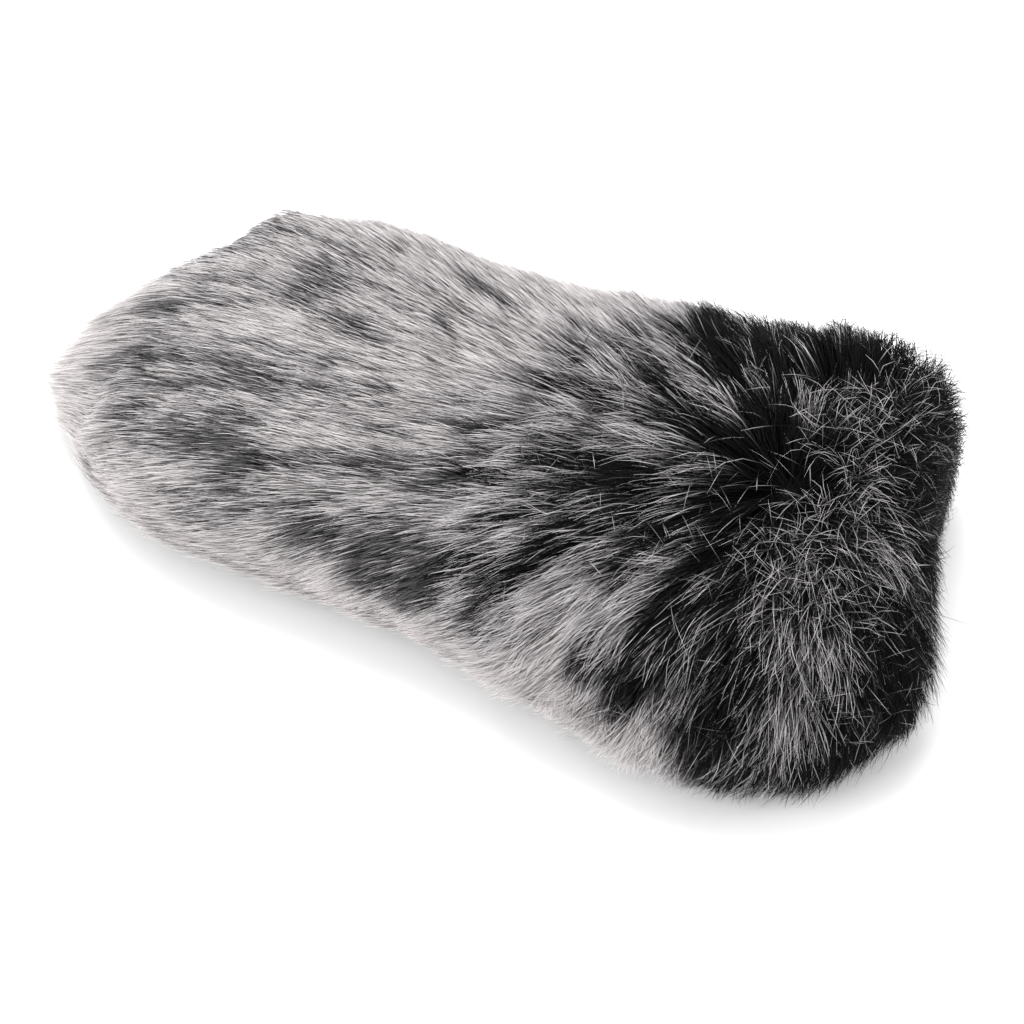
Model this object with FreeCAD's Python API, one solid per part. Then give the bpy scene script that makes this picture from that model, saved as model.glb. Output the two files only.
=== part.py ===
"""Long-pile slip-on wind cover for a round microphone basket, lying slack and flat on a surface.

Axes: +X to the closed front nose, +Y to the cover's left side, +Z up. Millimetres.
The cover is a tube of fur cloth (knitted backing plus pile) sewn from an upper and a lower panel,
closed by a round front cap, and gathered at the rear mouth by a drawcord in a hem casing.
"""
import FreeCAD, Part
import math
import os

Vec = FreeCAD.Vector

# ---- driving dimensions -------------------------------------------------------------------
MOUTH_X = -138.0            # rear edge of the backing, where the hem casing starts
CAP_SEAM_X = 128.0          # seam between the tube and the front cap
FLOOR_PILE = 6.0            # pile squashed under the cover's own weight
ROUNDNESS = 3.0             # exponent of the flattened-oval cross-section
SECTION_POINTS = 28         # points round one cross-section
REACH = 500.0               # size of cutting blocks, beyond the cover on every side
PAST = 1.0                  # how far a bore's tool reaches past a face

# backing of the tube, outer face: x, half width, half height
TUBE_STATIONS = [
    (MOUTH_X, 34.0, 14.0),
    (-118.0, 53.0, 18.0),
    (-90.0, 64.0, 21.0),
    (-40.0, 67.0, 22.0),
    (30.0, 68.0, 23.0),
    (95.0, 70.0, 25.0),
    (CAP_SEAM_X, 66.0, 25.0),
]
# backing of the cap, which lies crooked: x, half width, half height, middle's y
CAP_STATIONS = [
    (CAP_SEAM_X, 66.0, 25.0, 0.0),
    (143.0, 57.0, 22.0, -4.0),
    (153.0, 39.0, 16.0, -12.0),
    (159.0, 15.0, 7.0, -18.0),
]

# pile, outer face: x, half width, height above the widest line, depth below it, middle's y
PILE_STATIONS = [
    (-176.0, 17.0, 9.5, 9.0, -18.0),
    (-158.0, 31.0, 18.0, 15.0, -11.0),
    (MOUTH_X, 46.0, 27.0, 21.0, -4.0),
    (-118.0, 67.0, 33.0, 25.0, 0.0),
    (-90.0, 79.0, 38.0, 28.0, 0.0),
    (-40.0, 79.0, 41.0, 29.0, 0.0),
    (30.0, 80.0, 44.0, 30.0, 0.0),
    (95.0, 94.0, 50.0, 32.0, 0.0),
    (CAP_SEAM_X, 91.0, 49.0, 32.0, -4.0),
]
CAP_PILE_STATIONS = [
    (CAP_SEAM_X, 91.0, 49.0, 32.0, -4.0),
    (148.0, 78.0, 43.0, 29.0, -11.0),
    (159.0, 62.0, 36.0, 25.0, -22.0),
    (169.0, 44.0, 28.0, 20.0, -32.0),
    (178.0, 26.0, 18.0, 13.0, -38.0),
    (186.0, 9.0, 7.0, 6.0, -41.0),
]
# way out through the fringe behind the mouth: x, half width, half height, middle's y
FRINGE_HOLLOW = [(-177.0, 12.0, 5.5, -18.0), (-158.0, 22.0, 9.5, -11.0), (MOUTH_X, 32.8, 12.8, 0.0)]
# the line of the widest points rises from the tip to the tube: x, z
MIDDLE_LINE = [(-177.0, 11.9), (-176.0, 12.0), (-158.0, 16.0)]

BACKING = 1.2               # knitted backing thickness
TAPE = 0.6                  # side seam tape thickness
TAPE_WIDTH = 10.0
TAPE_GAP = 1.0              # between a tape's ends and the casing or the binding
HEM_WIDTH = 12.0            # hem casing, along X
HEM_WALL = 0.7              # cloth that the eyelets go through
HEM_DEPTH = 5.6             # casing thickness from the backing inwards
CHANNEL_PLAY = 0.25         # round the cord, in the casing's channel
CAP_BINDING_WIDTH = 7.0
CAP_BINDING_DEPTH = 3.4

CORD_R = 1.25
CORD_X = MOUTH_X + 5.0      # plane of the cord's ring in the casing
CORD_SIDE_R = 8.5           # tight arcs at the two ends of the ring
CORD_SIDE_INSET = 2.4       # ring's centre line, inwards from the backing's widest points
CORD_TOP_INSET = 3.5        # the same, from its top and bottom
CORD_RISE = 0.3             # ring's middle above the widest line
EXIT_BEND_R = 5.5
EXIT_RUN = 1.0              # straight run of the tails past the casing
TAIL_BEND_R = 8.0
TAIL_PITCH = 5.2            # distance between the two tails
EYELET_BORE_R = 1.35
EYELET_NECK_R = 1.9
EYELET_FLANGE_R = 2.4
EYELET_FLANGE = 0.6

LOCK_X = -98.0              # cord lock, on the tails
LOCK_FLOOR_Z = 7.7
LOCK_R = 7.0
LOCK_TOP_Z = 22.0
LOCK_CAVITY_R = 5.3
LOCK_BASE = 1.3
LOCK_RIM_R = 1.0
PLUNGER_CLEARANCE = 0.05
PLUNGER_TRAVEL = 2.5
PLUNGER_BOTTOM_Z = 13.6
PLUNGER_HEAD_R = 5.9
PLUNGER_HEAD = 2.4
PLUNGER_HEAD_GAP = 0.2      # left between the pressed head and the body
PLUNGER_RIM_R = 0.9
SLOT_PLAY = 0.1             # round each cord in the lock
LOCK_CORD_Z = 16.75
SPRING_WIRE_R = 0.25
SPRING_TURNS = 3.5
SPRING_COIL_R = 4.0
SPRING_END_GAP = 0.05
STOPPER_X = -68.0
STOPPER_SIZE = (10.0, 13.0, 7.2)
STOPPER_FLOOR_Z = 7.8
STOPPER_BORE = 5.0
STOPPER_ROUND = 2.0
STOPPER_APPROACH = 2.0      # straight run of the tails before the stopper

STITCH = (2.0, 0.55, 0.35)  # length, width, height of one stitch
STITCH_GAP = 0.35
RING_STITCHES = 30          # in each of the casing's two rows
CAP_STITCHES = 56
SIDE_STITCH_PITCH = 6.0
ROW_INSET = 2.0             # stitch rows, from the casing's edges
NEXT_ANGLE = 0.02           # to the point that gives a stitch its direction, round a ring
NEXT_X = 0.5                # the same, along a side seam
SIGHT = 1.5                 # reach of the lines that find the cloth, in half widths
LABEL_STITCHES = 6          # along each short edge
LABEL_STITCH_PITCH = 3.8
LABEL_STITCH_INSET = 1.5
LABEL_SIZE = (16.0, 24.0, 0.45)
LABEL_CENTRE = (-36.0, 15.0)
LABEL_FLOOR_Z = 7.9
LABEL_CORNER = 1.5


# ---- cross-sections ------------------------------------------------------------------------
def middle_z(x):
    """Height of the widest line at x, straight between the stations."""
    line = MIDDLE_LINE + [(sx, FLOOR_PILE + h) for sx, w, h in TUBE_STATIONS]
    x = min(max(x, line[0][0]), line[-1][0])
    for (x0, z0), (x1, z1) in zip(line, line[1:]):
        if x <= x1:
            return z0 + (z1 - z0) * (x - x0) / (x1 - x0)


def section_point(x, half_width, up, down, angle):
    """Point of the flattened oval at x; angle 0 is the left side, 90 degrees the top."""
    c = math.cos(angle)
    s = math.sin(angle)
    y = math.copysign(half_width * abs(c) ** (2.0 / ROUNDNESS), c)
    height = up if s >= 0 else down
    z = math.copysign(height * abs(s) ** (2.0 / ROUNDNESS), s)
    return Vec(x, y, middle_z(x) + z)


def section_wire(x, half_width, up, down, middle_y=0.0):
    """Closed flattened oval in the plane at x."""
    step = 2 * math.pi / SECTION_POINTS
    points = [section_point(x, half_width, up, down, i * step) for i in range(SECTION_POINTS)]
    points = [p + Vec(0, middle_y, 0) for p in points]
    curve = Part.BSplineCurve()
    curve.interpolate(Points=points, PeriodicFlag=True)
    return Part.Wire(curve.toShape())


def loft(stations):
    """Solid through ovals given as x, half width, height above, depth below and, if any, y."""
    return Part.makeLoft([section_wire(*s) for s in stations], True, False)


def evenly(stations, inset):
    """Backing stations moved inwards by inset, with equal height above and below."""
    return [(x, w - inset, h - inset, h - inset, *y) for x, w, h, *y in stations]


def tube(inset):
    return loft(evenly(TUBE_STATIONS, inset))


def slab(x0, x1):
    """Everything between two planes across X."""
    return Part.makeBox(x1 - x0, REACH, REACH, Vec(x0, -REACH / 2, -REACH / 2))


def band(low, high, y0, y1):
    """Block between two offsets from the widest line, from y0 to y1, over the whole length."""
    xs = [-REACH / 2] + [x for x, z in MIDDLE_LINE] + [s[0] for s in TUBE_STATIONS] + [REACH / 2]
    bottom = [Vec(x, y0, middle_z(x) + low) for x in xs]
    top = [Vec(x, y0, middle_z(x) + high) for x in xs]
    outline = Part.makePolygon(bottom + top[::-1] + [bottom[0]])
    return Part.Face(outline).extrude(Vec(0, y1 - y0, 0))


def below_floor():
    """Everything under the plane that the cover lies on."""
    return Part.makeBox(REACH, REACH, REACH, Vec(-REACH / 2, -REACH / 2, -REACH))


def save(name, shape):
    """Writes one node as STEP and reports its size."""
    solids = shape.Solids
    clean = solids[0] if len(solids) == 1 else Part.makeCompound(solids)
    clean.exportStep("parts/%s.step" % name)
    box = clean.BoundBox
    print("%-26s solids %3d valid %s volume %10.1f  x %.1f..%.1f y %.1f..%.1f z %.2f..%.1f" % (
        name, len(solids), clean.isValid(), clean.Volume,
        box.XMin, box.XMax, box.YMin, box.YMax, box.ZMin, box.ZMax))


# ---- fur cloth -----------------------------------------------------------------------------
def fur_panels():
    """Backing and pile of the upper and lower panels, meeting along the widest line."""
    outer = tube(0.0)
    inner = tube(BACKING)
    hollow = loft([(x, w, h, h, y) for x, w, h, y in FRINGE_HOLLOW])
    backing = outer.cut(inner)
    pile = loft(PILE_STATIONS).cut(outer).cut(hollow).cut(below_floor())
    lower_half = band(-REACH / 4, 0.0, -REACH / 2, REACH / 2)
    return {
        "upper_panel_backing": backing.cut(lower_half),
        "lower_panel_backing": backing.common(lower_half),
        "upper_panel_pile": pile.cut(lower_half),
        "lower_panel_pile": pile.common(lower_half),
    }


def front_cap():
    """Round cap, squashed oval by the slack tube and bulging forwards, with its own pile."""
    outer = loft(evenly(CAP_STATIONS, 0.0))
    last = len(CAP_STATIONS) - 1
    drawn_back = [(x - BACKING * i / last, *rest) for i, (x, *rest) in enumerate(CAP_STATIONS)]
    inner = loft(evenly(drawn_back, BACKING))
    pile = loft(CAP_PILE_STATIONS).cut(outer).cut(below_floor())
    return {"front_cap_backing": outer.cut(inner), "front_cap_pile": pile}


def seam_tapes():
    """Woven tape over each side seam, inside, between the hem casing and the cap binding."""
    shell = tube(BACKING).cut(tube(BACKING + TAPE))
    shell = shell.common(slab(MOUTH_X + HEM_WIDTH + TAPE_GAP, CAP_SEAM_X - CAP_BINDING_WIDTH - TAPE_GAP))
    half = TAPE_WIDTH / 2
    left = shell.common(band(-half, half, 0.0, REACH / 2))
    right = shell.common(band(-half, half, -REACH / 2, 0.0))
    return {"left_seam_tape": left, "right_seam_tape": right}


def cap_binding():
    """Bound seam allowance that stands inwards all round the cap seam."""
    ring = tube(BACKING).cut(tube(BACKING + CAP_BINDING_DEPTH))
    return {"cap_seam_binding": ring.common(slab(CAP_SEAM_X - CAP_BINDING_WIDTH, CAP_SEAM_X))}


def hem_casing():
    """Folded casing round the mouth: a flat sleeve with a channel for the drawcord."""
    front = MOUTH_X + HEM_WIDTH
    ring = tube(BACKING).cut(tube(BACKING + HEM_DEPTH)).common(slab(MOUTH_X, front))
    casing = ring.cut(swept(both_sides(ring_edges()), CORD_R + CHANNEL_PLAY, hem_exit()))
    for y in (-TAIL_PITCH / 2, TAIL_PITCH / 2):
        start = Vec(front - HEM_WALL, y, tail_exit_z())
        hole = Part.makeCylinder(EYELET_NECK_R, 2 * HEM_WALL, start, Vec(1, 0, 0))
        casing = casing.cut(hole)
    return {"hem_casing": casing}


# ---- drawcord ------------------------------------------------------------------------------
def ring_shape():
    """Half width, half height and large arc radius of the cord's oval ring in the casing."""
    x, w, h = TUBE_STATIONS[0]
    next_x, next_w, next_h = TUBE_STATIONS[1]
    part = (CORD_X - x) / (next_x - x)
    a = w + (next_w - w) * part - CORD_SIDE_INSET
    b = h + (next_h - h) * part - CORD_TOP_INSET
    big = ((a - CORD_SIDE_R) ** 2 + b ** 2 - CORD_SIDE_R ** 2) / (2 * (b - CORD_SIDE_R))
    return a, b, big


def ring_middle():
    return middle_z(CORD_X) + CORD_RISE


def ring_bottom(y):
    """Point of the ring's bottom arc at y, and the slope angle there."""
    a, b, big = ring_shape()
    slope = math.asin(y / big)
    return Vec(CORD_X, y, ring_middle() - b + big - big * math.cos(slope)), slope


def tail_joint():
    """Where the left tail's exit bend leaves the ring: point, slope and the tail's start."""
    y = TAIL_PITCH / 2 + EXIT_BEND_R
    point, slope = ring_bottom(y)
    along = Vec(0, math.cos(slope), math.sin(slope))
    start = point - along * EXIT_BEND_R + Vec(EXIT_BEND_R, 0, 0)
    return point, along, start


def tail_exit_z():
    return tail_joint()[2].z


def arc(a, middle, b):
    return Part.Arc(a, middle, b).toShape()


def run(a, b):
    return Part.LineSegment(a, b).toShape()


def s_bend(start, rise):
    """Two equal arcs that lift a cord running along +X by rise, in a plane across Y."""
    turn = math.acos(1 - abs(rise) / (2 * TAIL_BEND_R))
    up = math.copysign(1.0, rise)
    half = TAIL_BEND_R * math.sin(turn)
    drop = TAIL_BEND_R * (1 - math.cos(turn / 2))
    reach = TAIL_BEND_R * math.sin(turn / 2)
    middle = start + Vec(half, 0, rise / 2)
    end = start + Vec(2 * half, 0, rise)
    first = arc(start, start + Vec(reach, 0, up * drop), middle)
    second = arc(middle, end - Vec(reach, 0, up * drop), end)
    return [first, second], end


def hem_exit():
    """Where the left tail is clear of the casing."""
    start = tail_joint()[2]
    return Vec(MOUTH_X + HEM_WIDTH + EXIT_RUN, start.y, start.z)


def ring_edges():
    """Left half of the cord's path in the casing, from the exit to the top of the ring."""
    a, b, big = ring_shape()
    middle = ring_middle()
    joint, along, start = tail_joint()
    quarter = math.sqrt(0.5)
    bend_centre = joint + Vec(EXIT_BEND_R, 0, 0)
    bend_middle = bend_centre - Vec(EXIT_BEND_R * quarter, 0, 0) - along * (EXIT_BEND_R * quarter)
    corner_y = (a - CORD_SIDE_R) * big / (big - CORD_SIDE_R)
    corner = ring_bottom(corner_y)[0]
    half_way = ring_bottom((joint.y + corner_y) / 2)[0]
    side = Vec(CORD_X, a, middle)
    corner_up = Vec(CORD_X, corner.y, 2 * middle - corner.z)
    top = Vec(CORD_X, 0, middle + b)
    near_top = ring_bottom(corner_y / 2)[0]
    near_top = Vec(CORD_X, near_top.y, 2 * middle - near_top.z)
    return [run(hem_exit(), start), arc(start, bend_middle, joint), arc(joint, half_way, corner),
            arc(corner, side, corner_up), arc(corner_up, near_top, top)]


def tail_edges():
    """Left tail's path from its end in the stopper to the casing."""
    start = hem_exit()
    climb, on_lock = s_bend(start, LOCK_CORD_Z - start.z)
    stopper_z = STOPPER_FLOOR_Z + STOPPER_SIZE[2] / 2
    fall, level = s_bend(Vec(0, start.y, LOCK_CORD_Z), stopper_z - LOCK_CORD_Z)
    shift = Vec(STOPPER_X - STOPPER_APPROACH - level.x, 0, 0)
    fall_start = Vec(0, start.y, LOCK_CORD_Z) + shift
    for edge in fall:
        edge.translate(shift)
    end = Vec(STOPPER_X + STOPPER_BORE, start.y, stopper_z)
    return [run(end, level + shift)] + fall[::-1] + [run(fall_start, on_lock)] + climb[::-1], end


def both_sides(edges):
    """One wire of the edges and their mirror images across the middle plane."""
    mirrored = [e.mirror(Vec(0, 0, 0), Vec(0, 1, 0)) for e in edges]
    return Part.Wire(Part.__sortEdges__(edges + mirrored))


def swept(path, radius, start):
    """Round section along the path, which starts at start and runs along X there."""
    profile = Part.Wire(Part.makeCircle(radius, start, Vec(1, 0, 0)))
    return path.makePipeShell([profile], True, False)


def drawcord():
    """One elastic cord: tail, ring in the casing, tail. It is symmetric left to right."""
    tail, end = tail_edges()
    path = both_sides(tail + ring_edges())
    cord = swept(path, CORD_R, end)
    ratio = cord.Volume / (math.pi * CORD_R ** 2 * path.Length)
    print("drawcord length %.1f, volume over section times length %.4f" % (path.Length, ratio))
    return {"drawcord": cord}


def eyelets():
    """Two moulded eyelets that line the tails' exits from the casing."""
    front = MOUTH_X + HEM_WIDTH
    rings = []
    for y in (-TAIL_PITCH / 2, TAIL_PITCH / 2):
        base = Vec(front - HEM_WALL, y, tail_exit_z())
        neck = Part.makeCylinder(EYELET_NECK_R, HEM_WALL + EYELET_FLANGE, base, Vec(1, 0, 0))
        face = base + Vec(HEM_WALL, 0, 0)
        flange = Part.makeCylinder(EYELET_FLANGE_R, EYELET_FLANGE, face, Vec(1, 0, 0))
        length = HEM_WALL + EYELET_FLANGE + 2 * PAST
        bore = Part.makeCylinder(EYELET_BORE_R, length, base - Vec(PAST, 0, 0), Vec(1, 0, 0))
        rings.append(neck.fuse(flange).cut(bore).removeSplitter())
    return {"drawcord_eyelets": Part.makeCompound(rings)}


def cord_slot(bottom, top, length):
    """Flat slot along X through the lock, wide enough for both tails."""
    width = TAIL_PITCH + 2 * (CORD_R + SLOT_PLAY)
    return Part.makeBox(length, width, top - bottom, Vec(LOCK_X - length / 2, -width / 2, bottom))


def cord_lock():
    """Barrel cord lock: body, sprung plunger and spring, on the two tails."""
    slot_bottom = LOCK_CORD_Z - CORD_R - SLOT_PLAY
    slot_top = LOCK_CORD_Z + CORD_R + SLOT_PLAY
    up = Vec(0, 0, 1)
    floor = Vec(LOCK_X, 0, LOCK_FLOOR_Z)
    cavity_z = LOCK_FLOOR_Z + LOCK_BASE
    body = Part.makeCylinder(LOCK_R, LOCK_TOP_Z - LOCK_FLOOR_Z, floor, up)
    rims = [e for e in body.Edges if isinstance(e.Curve, Part.Circle)]
    body = body.makeFillet(LOCK_RIM_R, rims)
    cavity = Part.makeCylinder(LOCK_CAVITY_R, LOCK_TOP_Z, Vec(LOCK_X, 0, cavity_z), up)
    body = body.cut(cavity).cut(cord_slot(slot_bottom, slot_top, 4 * LOCK_R))

    shaft_r = LOCK_CAVITY_R - PLUNGER_CLEARANCE
    head_z = LOCK_TOP_Z + PLUNGER_TRAVEL + PLUNGER_HEAD_GAP
    shaft = Part.makeCylinder(shaft_r, head_z - PLUNGER_BOTTOM_Z, Vec(LOCK_X, 0, PLUNGER_BOTTOM_Z), up)
    head = Part.makeCylinder(PLUNGER_HEAD_R, PLUNGER_HEAD, Vec(LOCK_X, 0, head_z), up)
    top_rim = [e for e in head.Edges if isinstance(e.Curve, Part.Circle)
               and e.Curve.Center.z > head_z + PLUNGER_HEAD / 2]
    head = head.makeFillet(PLUNGER_RIM_R, top_rim)
    plunger = shaft.fuse(head).cut(cord_slot(slot_bottom, slot_top + PLUNGER_TRAVEL, 4 * LOCK_R))

    height = PLUNGER_BOTTOM_Z - cavity_z - 2 * (SPRING_WIRE_R + SPRING_END_GAP)
    helix = Part.makeHelix(height / SPRING_TURNS, height, SPRING_COIL_R)
    wire = Part.Wire(Part.makeCircle(SPRING_WIRE_R, Vec(SPRING_COIL_R, 0, 0), Vec(0, 1, 0)))
    spring = Part.Wire(helix).makePipeShell([wire], True, True)
    spring.translate(Vec(LOCK_X, 0, cavity_z + SPRING_WIRE_R + SPRING_END_GAP))
    return {"cord_lock_body": body, "cord_lock_plunger": plunger.removeSplitter(), "cord_lock_spring": spring}


def cord_stopper():
    """Moulded end piece that joins the two tails."""
    length, width, height = STOPPER_SIZE
    block = Part.makeBox(length, width, height, Vec(STOPPER_X, -width / 2, STOPPER_FLOOR_Z))
    block = block.makeFillet(STOPPER_ROUND, block.Edges)
    z = STOPPER_FLOOR_Z + height / 2
    for y in (-TAIL_PITCH / 2, TAIL_PITCH / 2):
        bore = Part.makeCylinder(CORD_R, STOPPER_BORE + PAST, Vec(STOPPER_X - PAST, y, z), Vec(1, 0, 0))
        block = block.cut(bore)
    return {"drawcord_end_stopper": block}


# ---- stitching and label -------------------------------------------------------------------
def size_at(x):
    """Half width and half height of the backing at x, straight between the stations."""
    for (x0, w0, h0), (x1, w1, h1) in zip(TUBE_STATIONS, TUBE_STATIONS[1:]):
        if x <= x1:
            part = (x - x0) / (x1 - x0)
            return w0 + (w1 - w0) * part, h0 + (h1 - h0) * part


def surface_hit(wall, x, angle):
    """Point of a lofted wall, seen from the middle of the section at x along angle."""
    w, h = size_at(x)
    centre = Vec(x, 0, middle_z(x))
    aim = section_point(x, SIGHT * w, SIGHT * h, SIGHT * h, angle)
    return wall.distToShape(Part.LineSegment(centre, aim).toShape())[1][0][0]


def wall_of(inset):
    """Side face of the tube, without its two ends."""
    return max(tube(inset).Faces, key=lambda face: face.Area)


def stitch(point, along, inwards):
    """One stitch: a small bar on the cloth, clear of it by a hair so that its ends don't dig in."""
    length, width, height = STITCH
    z = inwards.normalize()
    x = (along - z * along.dot(z)).normalize()
    y = z.cross(x)
    base = point + z * STITCH_GAP
    place = FreeCAD.Matrix(x.x, y.x, z.x, base.x, x.y, y.y, z.y, base.y, x.z, y.z, z.z, base.z, 0, 0, 0, 1)
    bar = Part.makeBox(length, width, height, Vec(-length / 2, -width / 2, 0))
    bar.Placement = FreeCAD.Placement(place)
    return bar


def ring_stitches(wall, x, count):
    """Stitches round the inner face of a ring at x."""
    bars = []
    for i in range(count):
        angle = 2 * math.pi * (i + 0.5) / count
        here = surface_hit(wall, x, angle)
        along = surface_hit(wall, x, angle + NEXT_ANGLE) - here
        inwards = Vec(1, 0, 0).cross(along)
        if inwards.dot(Vec(0, 0, middle_z(x)) - Vec(0, here.y, here.z)) < 0:
            inwards = inwards * -1
        bars.append(stitch(here, along, inwards))
    return bars


def side_stitches(wall, side):
    """Stitches along one side seam, on the tape."""
    bars = []
    start = MOUTH_X + HEM_WIDTH + 2 * ROW_INSET
    end = CAP_SEAM_X - CAP_BINDING_WIDTH - 2 * ROW_INSET
    count = int((end - start) / SIDE_STITCH_PITCH)
    angle = 0.0 if side > 0 else math.pi
    for i in range(count + 1):
        x = start + i * (end - start) / count
        here = surface_hit(wall, x, angle)
        along = surface_hit(wall, x + NEXT_X, angle) - here
        bars.append(stitch(here, along, Vec(along.y, -along.x, 0) * side))
    return bars


def stitching():
    on_tape = wall_of(BACKING + TAPE)
    on_casing = wall_of(BACKING + HEM_DEPTH)
    on_binding = wall_of(BACKING + CAP_BINDING_DEPTH)
    hem = ring_stitches(on_casing, MOUTH_X + ROW_INSET, RING_STITCHES)
    hem += ring_stitches(on_casing, MOUTH_X + HEM_WIDTH - ROW_INSET, RING_STITCHES)
    cap = ring_stitches(on_binding, CAP_SEAM_X - CAP_BINDING_WIDTH / 2, CAP_STITCHES)
    return {
        "left_seam_stitches": Part.makeCompound(side_stitches(on_tape, 1)),
        "right_seam_stitches": Part.makeCompound(side_stitches(on_tape, -1)),
        "hem_stitches": Part.makeCompound(hem),
        "cap_seam_stitches": Part.makeCompound(cap),
    }


def inner_label():
    """Blank woven label on the lower panel's inside, with a stitch row along its two short edges."""
    length, width, height = LABEL_SIZE
    cx, cy = LABEL_CENTRE
    label = Part.makeBox(length, width, height, Vec(cx - length / 2, cy - width / 2, LABEL_FLOOR_Z))
    label = label.makeFillet(LABEL_CORNER, [e for e in label.Edges if abs(e.tangentAt(0).z) > 0.9])
    bars = []
    inset = length / 2 - LABEL_STITCH_INSET
    for edge_x in (cx - inset, cx + inset):
        for i in range(LABEL_STITCHES):
            y = cy + (i - (LABEL_STITCHES - 1) / 2) * LABEL_STITCH_PITCH
            bars.append(stitch(Vec(edge_x, y, LABEL_FLOOR_Z + height), Vec(0, 1, 0), Vec(0, 0, 1)))
    return {"inner_label": label, "label_stitches": Part.makeCompound(bars)}


def main():
    os.makedirs("parts", exist_ok=True)
    makers = [fur_panels, front_cap, seam_tapes, cap_binding, hem_casing, drawcord, eyelets,
              cord_lock, cord_stopper, stitching, inner_label]
    for maker in makers:
        for name, shape in maker().items():
            save(name, shape)


main()
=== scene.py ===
"""Looks of the long-pile wind cover: fur strands, undercoat, knitted backing, tapes, cord and lock."""
import math

import bpy
import numpy as np
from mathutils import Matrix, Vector
from mathutils.bvhtree import BVHTree
from mathutils.kdtree import KDTree


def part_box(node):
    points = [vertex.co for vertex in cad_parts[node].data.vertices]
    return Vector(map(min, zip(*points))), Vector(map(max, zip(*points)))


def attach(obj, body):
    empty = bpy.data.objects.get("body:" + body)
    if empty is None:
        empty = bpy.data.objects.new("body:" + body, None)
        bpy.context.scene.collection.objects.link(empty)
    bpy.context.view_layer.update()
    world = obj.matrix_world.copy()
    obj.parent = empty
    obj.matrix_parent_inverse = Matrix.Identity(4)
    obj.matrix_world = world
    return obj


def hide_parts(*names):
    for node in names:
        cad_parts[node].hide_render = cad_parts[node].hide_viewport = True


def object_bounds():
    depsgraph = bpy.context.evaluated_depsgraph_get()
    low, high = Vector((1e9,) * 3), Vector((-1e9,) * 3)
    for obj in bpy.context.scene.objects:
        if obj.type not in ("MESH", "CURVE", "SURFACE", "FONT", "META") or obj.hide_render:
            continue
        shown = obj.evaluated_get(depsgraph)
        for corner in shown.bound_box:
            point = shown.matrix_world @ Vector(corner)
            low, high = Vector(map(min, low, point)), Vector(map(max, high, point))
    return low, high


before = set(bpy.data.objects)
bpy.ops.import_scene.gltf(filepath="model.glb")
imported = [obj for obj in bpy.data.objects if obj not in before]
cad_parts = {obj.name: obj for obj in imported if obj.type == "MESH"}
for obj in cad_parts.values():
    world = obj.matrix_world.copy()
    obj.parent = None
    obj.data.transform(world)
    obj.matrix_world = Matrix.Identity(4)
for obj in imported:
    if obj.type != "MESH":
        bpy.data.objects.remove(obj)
cad_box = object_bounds()

MM = 0.001
SEED = 20261

# ---- camera, driving values (metres and degrees) -----------------------------------------------
CAMERA_AZIMUTH = 25.75
CAMERA_ELEVATION = 48.2
CAMERA_DISTANCE = 1.7964
CAMERA_TARGET = Vector((0.0163, -0.0194, 0.030))
SENSOR_WIDTH = 36.0              # mm
VIEW_WIDTH = 0.3672884           # width that the view spans at the target's distance

# ---- fur, driving values (metres unless named otherwise) ---------------------------------------
STRANDS_UPPER = 185000
STRANDS_LOWER = 56000
STRANDS_CAP = 62000
STRANDS_PER_PIECE = 19000
POINTS = 6                       # points along one strand
STRAND_WIDTH = 0.36 * MM
GUARD_SHARE = 0.62               # share of long guard strands, the rest are shorter
STRANDS_PER_LOCK = 26            # strands that gather round one guide strand
CROWN = np.array([0.114, 0.001, 0.082])   # where the nap parts, on top near the front cap
FLOOR_GAP = 0.3 * MM
HEADROOM = 5.0 * MM              # highest tips over the pile, where they start to bend over
UNDERFUR = 0.45                  # height of the dense underfur, as a share of the pile's depth
LUMPS = 0.03                     # unevenness of the coat, as a share of the pile's depth
GATHER_POINT = np.array([-0.184, -0.020, 0.014])   # behind the mouth, where the fringe draws together

# ---- cloth, driving values (metres unless named otherwise) -------------------------------------
KNIT_THICKNESS = 1.15 * MM
GATHER_FOLDS = 26                      # folds of the knit round the mouth
HEM_PUCKERS = 52                       # puckers of the casing round the mouth
HEM_DEPTH = 4.0 * MM                   # middle of the casing under the backing's outer face
HEM_HALF_HEIGHT = 2.75 * MM
LABEL_THICKNESS = 0.3 * MM
SQUARENESS = 0.7                       # power for directions round the flattened tube

# colours from root to tip: place along the strand, linear colour
DARK_STRAND = [(0.0, (0.0012, 0.0012, 0.0014)), (0.6, (0.002, 0.002, 0.0024)),
               (0.85, (0.003, 0.003, 0.0036)), (1.0, (0.008, 0.008, 0.0095))]
TIPPED_STRAND = [(0.0, (0.0012, 0.0012, 0.0014)), (0.45, (0.003, 0.003, 0.0035)),
                 (0.60, (0.092, 0.089, 0.093)), (0.76, (0.405, 0.390, 0.400)),
                 (1.0, (0.63, 0.608, 0.620))]
PALE_STRAND = [(0.0, (0.003, 0.003, 0.004)), (0.2, (0.012, 0.012, 0.013)),
               (0.45, (0.115, 0.110, 0.110)), (0.7, (0.37, 0.348, 0.345)), (1.0, (0.67, 0.635, 0.63))]


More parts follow.
